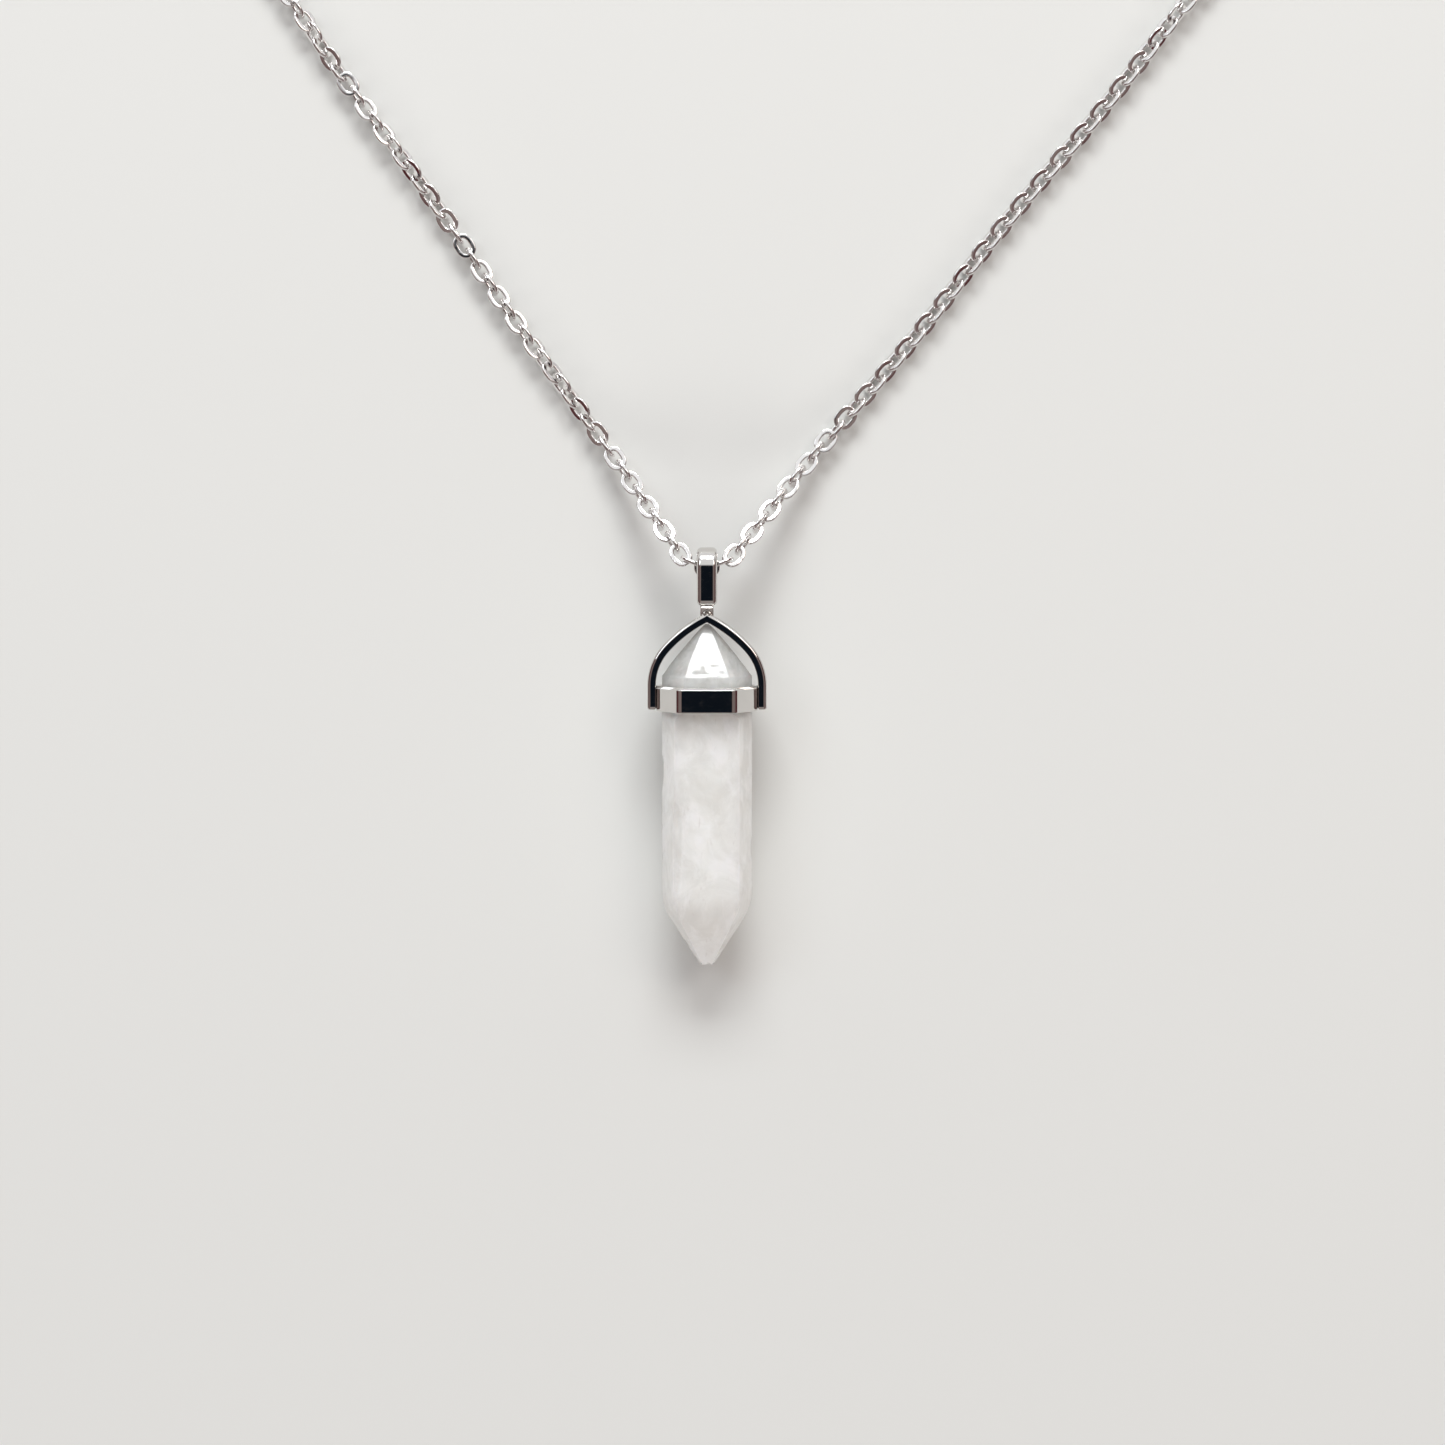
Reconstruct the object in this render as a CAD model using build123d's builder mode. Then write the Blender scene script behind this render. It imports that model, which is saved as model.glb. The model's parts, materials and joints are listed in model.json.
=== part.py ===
from build123d import *

import os
from math import asin, atan2, cos, degrees, pi, radians, sin

# A hexagonal quartz point in a metal cap, hung by its bail on an oval cable chain.  The whole
# necklace lies on a table, z = 0, as it is laid out to be looked at: the point towards -Y, the
# two arms of the chain climbing to +Y, and the clasp undone at the far side of the loop.
# The origin is the middle of the necklace on the table.  Every length is in millimetres.

# ---- chain ----
WIRE = 0.5                      # round wire of a link
LINK_LENGTH = 2.55              # outside, along the chain
LINK_WIDTH = 2.0                # outside, across the chain
LINK_SLACK = 0.05               # play between two links that hang in each other
LINK_REACH = (LINK_LENGTH - WIRE) / 2       # link centre to the middle of its end wire
LINK_BEND = (LINK_WIDTH - WIRE) / 2         # radius of the end bends, to the middle of the wire
PITCH = 2 * LINK_REACH - WIRE - LINK_SLACK  # one link to the next along a straight chain

RIGHT_LINKS = 145               # from the bail's own link to the clasp's ring
LEFT_LINKS = 138                # from the bail's own link to the closing ring
RIGHT_SLOPE = 50.6              # heading of each arm, degrees from +X or -X
LEFT_SLOPE = 54.8
STRAIGHT_LINKS = 54             # where the straight arm starts to round into the loop
LOOP_RADIUS = 66.0              # of the far side of the loop
WAVE_ANGLE = 1.6                # the arms waver by this many degrees
WAVE_LINKS = 19                 # over this many links
DRAPE_LINKS = 15                # links between the bail and the first one lying on the table
END_RISE_LINKS = 6              # the last links climb to the clasp's ring
END_RISE_ANGLE = 3.6            # by this pitch, degrees
FIRST_TURN = 0.48               # the first link beside the bail turns by this part of the slope

# How the chain is rolled about its own line, as (link number, degrees).  At 0 the even links lie
# flat and the odd ones stand on edge; at 90 it is the other way about; at 45 both lean.
RIGHT_ROLL = [(0, 0), (11, 0), (16, 45), (44, 45), (51, 90), (RIGHT_LINKS, 90)]
LEFT_ROLL = [(0, 0), (9, 4), (13, 45), (21, 88), (25, 92), (31, 135), (37, 178), (39, 182),
             (42, 225), (46, 270), (LEFT_LINKS, 270)]

# The links where each arm is jointed.  The link after each of these is a body of its own, so
# that every one of these places bends both ways, like a universal joint.
RIGHT_JOINTS = [1, 9, 27, 52, 92]
LEFT_JOINTS = [1, 7, 22, 37, 54, 94]

# ---- pendant, measured along its own axis from the chain's line in the bail ----
ROOM = 1.12                     # chain's line to the bail's inner back
TOP_ROOM = 1.32                 # chain's line to the bail's inner top
BAIL_WIDTH = 1.96
BAIL_STRIP = 0.62               # thickness of the bail's metal
BAIL_DEPTH = 3.0                # inside, front to back
BAIL_HEIGHT = 4.32              # inside, along the pendant
BAIL_CORNERS = (2.0, 0.5)       # outside corner radii at the top and at the foot
BAIL_INNER_CORNERS = (1.15, 0.2)
MIDDLE = BAIL_DEPTH / 2 - ROOM  # the pendant's middle plane above the chain's line
BAIL_TOP = TOP_ROOM + BAIL_STRIP
BAIL_FOOT = TOP_ROOM - BAIL_HEIGHT - BAIL_STRIP

NECK_WIDTH = 1.3
NECK_DEPTH = 1.7
NECK_TAIL = 1.0                 # the neck's block runs this far past the apex before it is trimmed

ARCH_APEX = -4.35               # outside of the arch under the neck
ARCH_HALF_SPAN = 5.78           # outside of the arch beside the band
ARCH_SPRING = -11.4             # where the arch leaves the upright, at the top of the band
ARCH_SHOULDER = (4.3, -7.55)    # where the round shoulder meets the flatter rafter
ARCH_METAL = 0.85
ARCH_DEPTH = 2.0
ARCH_APEX_METAL = 0.85          # along the pendant, where the two sides meet
ARCH_LEAN = 42                  # the metal's lean at the shoulder, degrees
ARCH_FOOT = 0.1                 # the arch's feet end this far above the band's lower rim

BAND_TOP = -11.4
BAND_HEIGHT = 2.43
BAND_SIDE = 5.62                # each outer side of the hexagon
BAND_WALL = 0.8
BAND_CORNER = 0.5               # rounding of the upright corners
BAND_CHAMFER = 0.24             # round the top edge

CRYSTAL_HALF_WIDTH = 4.4
CRYSTAL_HALF_FACE = 3.1         # half of the front and back facets of the body
CRYSTAL_UPPER_FACE = 2.42       # the same from the upper pyramid down through the band
CRYSTAL_HALF_DEPTH = 3.6
CRYSTAL_APEX = -5.48
CRYSTAL_SHOULDER = -10.4
CRYSTAL_BODY_TOP = -14.4        # the body has its full section from here down
CRYSTAL_LOWER_SHOULDER = -32.85
CRYSTAL_BEVEL = -33.9           # where the steep bevel below the shoulder meets the tip's facets
CRYSTAL_BEVEL_SCALE = 0.885
CRYSTAL_TIP = -38.5
CRYSTAL_TIP_SCALE = 0.15        # the blunt tip, of the full section
CRYSTAL_APEX_SCALE = 0.04
CEMENT_INSET = 0.3              # the cement stops this far inside the band's two rims

# ---- clasp ----
RING_WIRE = 0.5
RING_REACH = 1.25               # jump ring, centre to the middle of its wire
CLOSING_WIRE = 0.7
CLOSING_REACH = 2.15
RING_SEAM = 2.0                 # butt joint of a bent ring, degrees

CLASP_THICKNESS = 2.4
EYE_RADIUS = 1.5
EYE_HOLE = 0.72
EYE_THICKNESS = 0.9
CLAW_CENTRE = 5.4               # of the oval claw, from the eye
CLAW_LENGTH = 7.0
CLAW_WIDTH = 4.7
MOUTH_CENTRE = 5.95
MOUTH_LENGTH = 4.2
MOUTH_WIDTH = 2.5
CLASP_NECK = 1.7                # width between the eye and the claw
LEVER_THICKNESS = 1.0
LEVER_PLAY = 0.08
LEVER_NOSE = 7.35               # where the lever meets the claw's tip
NOSE_LEAN = 0.35                # the meeting faces lean back by this much
LEVER_STEP = 0.2                # the lever's lower edge below its pivot
PIVOT = (3.05, 0.95)
HUB_RADIUS = 0.9
POCKET_RADIUS = 1.3             # the pocket between the two cheeks that the hub turns in
TAB_PLACE = 4.5                 # thumb tab, from the eye
TAB_WIDTH = 0.9
TAB_HEIGHT = 2.2
PIN_RADIUS = 0.3
PIN_PLAY = 0.03
PIN_LENGTH = 2.3
RECESS_RADIUS = 0.64
SPRING_RECESS = 0.68
SPRING_WIRE = 0.16
SPRING_RADIUS = 0.47
SPRING_TURNS = 2.5
SPRING_PITCH = 0.18

# ---- where the bail sits, so that the origin is the middle of the necklace ----
BAIL_X = -3.7
BAIL_Y = -66.57


def heading_vector(heading, pitch):
    """A unit vector at a heading from +X in the table's plane and a pitch above it, degrees."""
    level = cos(radians(pitch))
    return Vector(level * cos(radians(heading)), level * sin(radians(heading)), sin(radians(pitch)))


def between(table, number):
    """Read a value from a list of (number, value) pairs, in a straight line between two pairs."""
    for (first, low), (second, high) in zip(table, table[1:]):
        if number <= second:
            return low + (high - low) * (number - first) / (second - first)
    return table[-1][1]


def rest_height(roll):
    """Height of a link's centre on the table when it and its neighbours are rolled by roll."""
    return WIRE / 2 + LINK_BEND * max(abs(sin(radians(roll))), abs(cos(radians(roll))))


def link_heading(number, slope):
    """Heading of a link: out of the bail, up the straight arm, then round the loop."""
    if number == 0:
        return 0.0
    if number == 1:
        return slope * FIRST_TURN
    wave = WAVE_ANGLE * sin(2 * pi * (number - 2) / WAVE_LINKS)
    rounded = max(0, number - STRAIGHT_LINKS) * degrees(PITCH / LOOP_RADIUS)
    return slope + wave + rounded


def link_pitch(number, count, roll, drape):
    """Pitch of a link: down from the bail, level on the table, and up to the ring at the end."""
    if number < DRAPE_LINKS:
        return -drape * min(number / 3, 1) * (1 - number / DRAPE_LINKS)
    if number > count - END_RISE_LINKS and roll[-1][1] == 90:
        return END_RISE_ANGLE
    climb = rest_height(between(roll, number + 1)) - rest_height(between(roll, number - 1))
    return degrees(asin(climb / (2 * PITCH)))


def lay_arm(side, slope, count, roll, drape):
    """Places of the links 1 to count of one arm, each a centre, a direction and a face normal.

    A link hangs in the one before it, so its centre follows from the wire that it hangs on.  The
    play between them lies along the flat link sideways, and along the standing link up and down.
    """
    centre = Vector(0, 0, chain_height)
    along = heading_vector(0, 0)
    places = []
    for number in range(1, count + 1):
        even = number - number % 2
        odd = number - 1 + number % 2
        play = heading_vector(link_heading(even, slope), link_pitch(odd, count, roll, drape))
        wire = centre + along * LINK_REACH
        heading = link_heading(number, slope)
        pitch = link_pitch(number, count, roll, drape)
        along = heading_vector(heading, pitch)
        centre = wire - play * (WIRE + LINK_SLACK) + along * LINK_REACH
        turn = radians(between(roll, number) + 90 * (number % 2))
        upward = heading_vector(heading, pitch + 90)
        normal = upward * cos(turn) + along.cross(upward) * sin(turn)
        places.append((centre, along, normal))
    return [tuple(Vector(side * v.X, v.Y, v.Z) for v in place) for place in places]


def drape_angle(slope, count, roll):
    """The steepest pitch that brings the chain down from the bail to the table, by bisection."""
    low, high = 5.0, 50.0
    for _ in range(40):
        middle = (low + high) / 2
        landed = lay_arm(1, slope, DRAPE_LINKS, roll, middle)[-1][0].Z
        if landed > rest_height(between(roll, DRAPE_LINKS)):
            low = middle
        else:
            high = middle
    return middle


def place_of(centre, along, normal):
    """The plane that a link, ring or clasp is built on, moved to where the bail sits."""
    return Plane(origin=centre + Vector(BAIL_X, BAIL_Y, 0), x_dir=along, z_dir=normal)


# The pendant lies on the band's lower back edge and on the crystal's lower back shoulder.
band_half_depth = BAND_SIDE * cos(pi / 6)
bore_side = BAND_SIDE - BAND_WALL / cos(pi / 6)
band_foot = BAND_TOP - BAND_HEIGHT
arch_foot = band_foot + ARCH_FOOT
tilt = atan2(band_half_depth - CRYSTAL_HALF_DEPTH, band_foot - CRYSTAL_LOWER_SHOULDER)
chain_height = -band_foot * sin(tilt) + (band_half_depth - MIDDLE) * cos(tilt)
pendant_frame = Plane(
    origin=(BAIL_X, BAIL_Y, chain_height),
    x_dir=(1, 0, 0),
    z_dir=(0, -sin(tilt), cos(tilt)),
)


def pendant_section(along):
    """The plane across the pendant at a distance along it; its x is the pendant's width."""
    return Plane(
        origin=pendant_frame.from_local_coords((0, along, MIDDLE)),
        x_dir=pendant_frame.x_dir,
        z_dir=pendant_frame.y_dir,
    )


pendant_front = pendant_frame.offset(MIDDLE)
pendant_side = Plane(
    origin=pendant_frame.from_local_coords((0, 0, MIDDLE)),
    x_dir=pendant_frame.y_dir,
    z_dir=pendant_frame.x_dir,
)


def save(piece, name):
    """Label a finished piece and write its STEP file."""
    piece.label = name
    export_step(piece, f"parts/{name}.step")


os.makedirs("parts", exist_ok=True)

# ---- crystal ----
with BuildPart() as crystal:
    for level, size, half_face in [
        (CRYSTAL_APEX, CRYSTAL_APEX_SCALE, CRYSTAL_UPPER_FACE),
        (CRYSTAL_SHOULDER, 1.0, CRYSTAL_UPPER_FACE),
        (band_foot, 1.0, CRYSTAL_UPPER_FACE),
        (CRYSTAL_BODY_TOP, 1.0, CRYSTAL_HALF_FACE),
        (CRYSTAL_LOWER_SHOULDER, 1.0, CRYSTAL_HALF_FACE),
        (CRYSTAL_BEVEL, CRYSTAL_BEVEL_SCALE, CRYSTAL_HALF_FACE),
        (CRYSTAL_TIP, CRYSTAL_TIP_SCALE, CRYSTAL_HALF_FACE),
    ]:
        with BuildSketch(pendant_section(level)):
            Polygon(
                (CRYSTAL_HALF_WIDTH * size, 0),
                (half_face * size, CRYSTAL_HALF_DEPTH * size),
                (-half_face * size, CRYSTAL_HALF_DEPTH * size),
                (-CRYSTAL_HALF_WIDTH * size, 0),
                (-half_face * size, -CRYSTAL_HALF_DEPTH * size),
                (half_face * size, -CRYSTAL_HALF_DEPTH * size),
            )
    loft(ruled=True)
save(crystal.part, "crystal_point")

# ---- hexagonal band, its two side corners cut flat for the arch ----
with BuildPart() as band:
    with BuildSketch(pendant_section(band_foot)):
        RegularPolygon(radius=BAND_SIDE, side_count=6)
    extrude(amount=BAND_HEIGHT)
    fillet(band.edges().filter_by(Axis(pendant_frame.origin, pendant_frame.y_dir)), BAND_CORNER)
    rim = band.faces().sort_by(Axis(pendant_frame.origin, pendant_frame.y_dir))[-1]
    chamfer(rim.edges(), BAND_CHAMFER)
    with BuildSketch(pendant_section(band_foot)):
        RegularPolygon(radius=bore_side, side_count=6)
    extrude(amount=BAND_HEIGHT, mode=Mode.SUBTRACT)
    with BuildSketch(pendant_section(band_foot)):
        Rectangle(2 * (ARCH_HALF_SPAN - ARCH_METAL), 4 * BAND_SIDE)
    extrude(amount=BAND_HEIGHT, mode=Mode.INTERSECT)
save(band.part, "cap_band")

# ---- cement between the crystal and the band ----
with BuildPart() as cement:
    with BuildSketch(pendant_section(band_foot + CEMENT_INSET)):
        RegularPolygon(radius=bore_side, side_count=6)
    extrude(amount=BAND_HEIGHT - 2 * CEMENT_INSET)
    add(crystal.part, mode=Mode.SUBTRACT)
save(cement.part, "cap_cement")


def arch_outline(inset):
    """Half of the pointed arch, inset from its outside, up the side and over to the apex."""
    foot = Line((ARCH_HALF_SPAN - inset, arch_foot), (ARCH_HALF_SPAN - inset, ARCH_SPRING))
    shoulder_x, shoulder_y = ARCH_SHOULDER
    inward = inset * cos(radians(ARCH_LEAN))
    shoulder = TangentArc(foot @ 1, (shoulder_x - inward, shoulder_y - inward), tangent=(0, 1))
    apex = ARCH_APEX - inset * ARCH_APEX_METAL / ARCH_METAL
    TangentArc(shoulder @ 1, (0, apex), tangent=shoulder % 1)


# ---- arch: one strip, bent to a point over the crystal and soldered to the band's sides ----
with BuildPart() as arch:
    with BuildSketch(pendant_front) as arch_sketch:
        with BuildLine():
            arch_outline(0)
            arch_outline(ARCH_METAL)
            Line((0, ARCH_APEX), (0, ARCH_APEX - ARCH_APEX_METAL))
            Line((ARCH_HALF_SPAN, arch_foot), (ARCH_HALF_SPAN - ARCH_METAL, arch_foot))
        make_face()
        mirror(about=Plane.YZ)
    extrude(amount=ARCH_DEPTH / 2, both=True)
save(arch.part, "cap_arch")

# ---- neck: the block between the arch's point and the bail's foot ----
with BuildPart() as neck:
    with BuildSketch(pendant_front):
        with Locations((0, (BAIL_FOOT + ARCH_APEX - NECK_TAIL) / 2)):
            Rectangle(NECK_WIDTH, BAIL_FOOT - ARCH_APEX + NECK_TAIL)
    extrude(amount=NECK_DEPTH / 2, both=True)
    with BuildSketch(pendant_front):
        with BuildLine():
            arch_outline(0)
            Line((0, ARCH_APEX), (0, band_foot))
            Line((0, band_foot), (ARCH_HALF_SPAN, band_foot))
            Line((ARCH_HALF_SPAN, band_foot), (ARCH_HALF_SPAN, arch_foot))
        make_face()
        mirror(about=Plane.YZ)
    extrude(amount=NECK_DEPTH, both=True, mode=Mode.SUBTRACT)
save(neck.part, "bail_neck")



def bail_outline(grow, corners):
    """The bail from the side, grown by grow from its inside, with its top and foot corner radii."""
    half_depth = BAIL_DEPTH / 2 + grow
    top = TOP_ROOM + grow
    foot = TOP_ROOM - BAIL_HEIGHT - grow
    top_radius, foot_radius = corners
    FilletPolyline(
        (top, -half_depth),
        (top, half_depth),
        (foot, half_depth),
        (foot, -half_depth),
        radius=[top_radius, top_radius, foot_radius, foot_radius],
        close=True,
    )


# ---- bail: a closed loop of flat strip that the chain runs through ----
with BuildPart() as bail:
    with BuildSketch(pendant_side):
        with BuildLine():
            bail_outline(BAIL_STRIP, BAIL_CORNERS)
        make_face()
        with BuildLine():
            bail_outline(0, BAIL_INNER_CORNERS)
        make_face(mode=Mode.SUBTRACT)
    extrude(amount=BAIL_WIDTH / 2, both=True)
save(bail.part, "bail_loop")

# ---- one chain link ----
with BuildPart() as link:
    straight = LINK_REACH - LINK_BEND
    with BuildLine() as loop:
        Line((-straight, LINK_BEND), (straight, LINK_BEND))
        ThreePointArc((straight, LINK_BEND), (LINK_REACH, 0), (straight, -LINK_BEND))
        Line((straight, -LINK_BEND), (-straight, -LINK_BEND))
        ThreePointArc((-straight, -LINK_BEND), (-LINK_REACH, 0), (-straight, LINK_BEND))
    with BuildSketch(Plane(origin=loop.wire() @ 0, z_dir=loop.wire() % 0)):
        Circle(WIRE / 2)
    sweep()

# ---- the two arms ----
right_drape = drape_angle(RIGHT_SLOPE, RIGHT_LINKS, RIGHT_ROLL)
left_drape = drape_angle(LEFT_SLOPE, LEFT_LINKS, LEFT_ROLL)
bail_link = (Vector(0, 0, chain_height), Vector(1, 0, 0), Vector(0, 0, 1))
right_arm = [bail_link] + lay_arm(1, RIGHT_SLOPE, RIGHT_LINKS, RIGHT_ROLL, right_drape)
left_arm = [bail_link] + lay_arm(-1, LEFT_SLOPE, LEFT_LINKS, LEFT_ROLL, left_drape)


def arm_pieces(side, arm, joints):
    """Split an arm at its joints into named runs of links: {name: places}."""
    pieces = {}
    ends = joints[1:] + [len(arm) - 1]
    for count, (joint, end) in enumerate(zip(joints, ends), start=1):
        pieces[f"chain_{side}_swivel_link_{count}"] = arm[joint + 1 : joint + 2]
        pieces[f"chain_{side}_run_{count}"] = arm[joint + 2 : end + 1]
    return pieces


chain_pieces = {"chain_bail_links": [left_arm[1], bail_link, right_arm[1]]}
chain_pieces |= arm_pieces("right", right_arm, RIGHT_JOINTS)
chain_pieces |= arm_pieces("left", left_arm, LEFT_JOINTS)
for piece_name, places in chain_pieces.items():
    with BuildPart() as run:
        with Locations(*[place_of(*place) for place in places]):
            add(link.part)
    save(run.part, piece_name)


def bent_ring(plane, reach, wire):
    """A ring bent from round wire, open by a hairline at its butt joint."""
    with BuildPart() as ring:
        with BuildSketch(Plane(origin=plane.origin, x_dir=plane.y_dir, z_dir=plane.x_dir)):
            with Locations((reach, 0)):
                Circle(wire / 2)
        revolve(axis=Axis(plane.origin, plane.z_dir), revolution_arc=360 - RING_SEAM)
    return ring.part


# ---- jump ring, standing in the last link of the right arm ----
last_centre, last_along = right_arm[-1][:2]
end_heading = heading_vector(degrees(atan2(last_along.Y, last_along.X)), 0)
ring_centre = last_centre + last_along * (LINK_REACH - WIRE - LINK_SLACK) + end_heading * RING_REACH
ring_place = (ring_centre, end_heading, end_heading.cross(Vector(0, 0, 1)))
save(bent_ring(place_of(*ring_place), RING_REACH, RING_WIRE), "clasp_jump_ring")

# ---- closing ring, in the last link of the left arm, its far side down on the table ----
left_centre, left_along = left_arm[-1][:2]
hook_wire = left_centre + left_along * LINK_REACH
closing_pitch = -degrees(asin((hook_wire.Z - CLOSING_WIRE / 2) / (2 * CLOSING_REACH)))
left_heading = degrees(atan2(left_along.Y, left_along.X))
closing_along = heading_vector(left_heading, closing_pitch)
closing_play = (WIRE + CLOSING_WIRE) / 2 + LINK_SLACK
closing_centre = hook_wire + closing_along * (CLOSING_REACH - closing_play)
closing_place = (closing_centre, closing_along, heading_vector(left_heading, closing_pitch + 90))
save(bent_ring(place_of(*closing_place), CLOSING_REACH, CLOSING_WIRE), "closing_ring")

# ---- lobster clasp, lying flat with its eye round the jump ring's far wire ----
eye_centre = ring_centre + end_heading * RING_REACH
clasp_origin = Vector(eye_centre.X, eye_centre.Y, CLASP_THICKNESS / 2)
clasp_plane = place_of(clasp_origin, end_heading, Vector(0, 0, 1))
slot_half = LEVER_THICKNESS / 2 + LEVER_PLAY


def claw_ring():
    """The oval of the claw around the hook's opening, drawn in the current sketch."""
    with Locations((CLAW_CENTRE, 0)):
        Ellipse(CLAW_LENGTH / 2, CLAW_WIDTH / 2)
    with Locations((MOUTH_CENTRE, 0)):
        Ellipse(MOUTH_LENGTH / 2, MOUTH_WIDTH / 2, mode=Mode.SUBTRACT)


def lever_field(start, play, mode=Mode.ADD):
    """The side of the oval that the lever closes, from start to its nose, grown by play."""
    floor = PIVOT[1] - LEVER_STEP - play
    Polygon(
        (start, floor),
        (LEVER_NOSE + play, floor),
        (LEVER_NOSE - NOSE_LEAN + play, CLAW_WIDTH),
        (start, CLAW_WIDTH),
        align=None,
        mode=mode,
    )


with BuildPart() as clasp:
    with BuildSketch(clasp_plane):
        claw_ring()
    extrude(amount=CLASP_THICKNESS / 2, both=True)
    with BuildSketch(clasp_plane):
        Circle(EYE_RADIUS)
        with Locations((EYE_RADIUS, 0)):
            Rectangle(2 * EYE_RADIUS, CLASP_NECK)
    extrude(amount=EYE_THICKNESS / 2, both=True)
    with BuildSketch(clasp_plane):
        Circle(EYE_HOLE)
        with Locations(PIVOT):
            Circle(PIN_RADIUS)
        lever_field(PIVOT[0] + POCKET_RADIUS, LEVER_PLAY)
    extrude(amount=CLASP_THICKNESS, both=True, mode=Mode.SUBTRACT)
    with BuildSketch(clasp_plane):
        lever_field(PIVOT[0], LEVER_PLAY)
        with Locations(PIVOT):
            Circle(POCKET_RADIUS)
    extrude(amount=slot_half, both=True, mode=Mode.SUBTRACT)
save(clasp.part, "clasp_body")

# ---- lever: a flat plate with a round hub and a thumb tab, recessed for its spring ----
recess_floor = LEVER_THICKNESS / 2 - SPRING_RECESS
with BuildPart() as lever:
    with BuildSketch(clasp_plane):
        claw_ring()
        lever_field(PIVOT[0], 0, mode=Mode.INTERSECT)
        with Locations(PIVOT):
            Circle(HUB_RADIUS)
        with Locations((TAB_PLACE, CLAW_WIDTH / 2)):
            SlotOverall(TAB_HEIGHT, TAB_WIDTH, rotation=90)
        with Locations((MOUTH_CENTRE, 0)):
            Ellipse(MOUTH_LENGTH / 2, MOUTH_WIDTH / 2, mode=Mode.SUBTRACT)
    extrude(amount=LEVER_THICKNESS / 2, both=True)
    with BuildSketch(clasp_plane):
        with Locations(PIVOT):
            Circle(PIN_RADIUS + PIN_PLAY)
    extrude(amount=CLASP_THICKNESS, both=True, mode=Mode.SUBTRACT)
    with BuildSketch(clasp_plane.offset(recess_floor)):
        with Locations(PIVOT):
            Circle(RECESS_RADIUS)
    extrude(amount=LEVER_THICKNESS, mode=Mode.SUBTRACT)
save(lever.part, "clasp_lever")

# ---- pivot pin, flush with both cheeks ----
with BuildPart() as pin:
    with BuildSketch(clasp_plane.offset(-PIN_LENGTH / 2)):
        with Locations(PIVOT):
            Circle(PIN_RADIUS)
    extrude(amount=PIN_LENGTH)
save(pin.part, "clasp_pivot_pin")

# ---- return spring, coiled round the pin in the lever's recess ----
spring_floor = recess_floor + (SPRING_RECESS - SPRING_TURNS * SPRING_PITCH) / 2
spring_plane = Plane(
    origin=clasp_plane.from_local_coords((PIVOT[0], PIVOT[1], spring_floor)),
    x_dir=clasp_plane.x_dir,
    z_dir=clasp_plane.z_dir,
)
with BuildPart() as spring:
    with BuildLine(spring_plane) as coil:
        Helix(pitch=SPRING_PITCH, height=SPRING_TURNS * SPRING_PITCH, radius=SPRING_RADIUS)
    with BuildSketch(Plane(origin=coil.wire() @ 0, z_dir=coil.wire() % 0)):
        Circle(SPRING_WIRE / 2)
    sweep(is_frenet=True)
save(spring.part, "clasp_spring")
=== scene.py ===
import json
import random
from math import atan2, copysign, cos, pi, radians, sin, tan

import bmesh
import bpy
import numpy as np
from mathutils import Matrix, Vector, noise


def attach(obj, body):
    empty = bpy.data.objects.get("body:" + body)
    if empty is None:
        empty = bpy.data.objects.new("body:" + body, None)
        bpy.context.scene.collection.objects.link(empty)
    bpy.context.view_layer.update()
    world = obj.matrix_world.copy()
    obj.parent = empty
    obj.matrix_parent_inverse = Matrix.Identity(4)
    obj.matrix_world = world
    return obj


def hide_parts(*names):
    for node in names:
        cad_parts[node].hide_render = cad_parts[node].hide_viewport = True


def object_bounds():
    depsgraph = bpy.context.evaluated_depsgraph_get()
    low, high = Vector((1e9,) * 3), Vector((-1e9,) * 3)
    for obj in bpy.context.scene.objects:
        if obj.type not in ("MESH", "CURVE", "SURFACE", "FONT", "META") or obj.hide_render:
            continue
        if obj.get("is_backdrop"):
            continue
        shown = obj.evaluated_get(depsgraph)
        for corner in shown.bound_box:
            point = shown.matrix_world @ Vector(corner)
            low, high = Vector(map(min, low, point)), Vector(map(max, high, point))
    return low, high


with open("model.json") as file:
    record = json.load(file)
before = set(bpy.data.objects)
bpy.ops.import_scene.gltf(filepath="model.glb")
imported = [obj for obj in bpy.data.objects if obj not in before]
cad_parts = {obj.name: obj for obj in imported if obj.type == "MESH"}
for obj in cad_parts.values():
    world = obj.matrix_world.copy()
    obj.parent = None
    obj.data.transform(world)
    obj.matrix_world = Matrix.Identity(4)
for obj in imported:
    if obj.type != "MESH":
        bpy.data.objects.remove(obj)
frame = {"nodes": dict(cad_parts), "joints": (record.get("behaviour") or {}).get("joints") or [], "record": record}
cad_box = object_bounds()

# A milky quartz point in a polished metal cap, on an oval cable chain, laid out on a pale table.
# Shapes are built in millimetres in the frame of the piece that they belong to, then moved into
# the shared frame, which is in metres.
MM = 0.001
WELD = 0.0005                   # mesh points closer than this are one
SEAM_GRID = 0.001               # CAD points on one step of this grid are one, across shading seams

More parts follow.
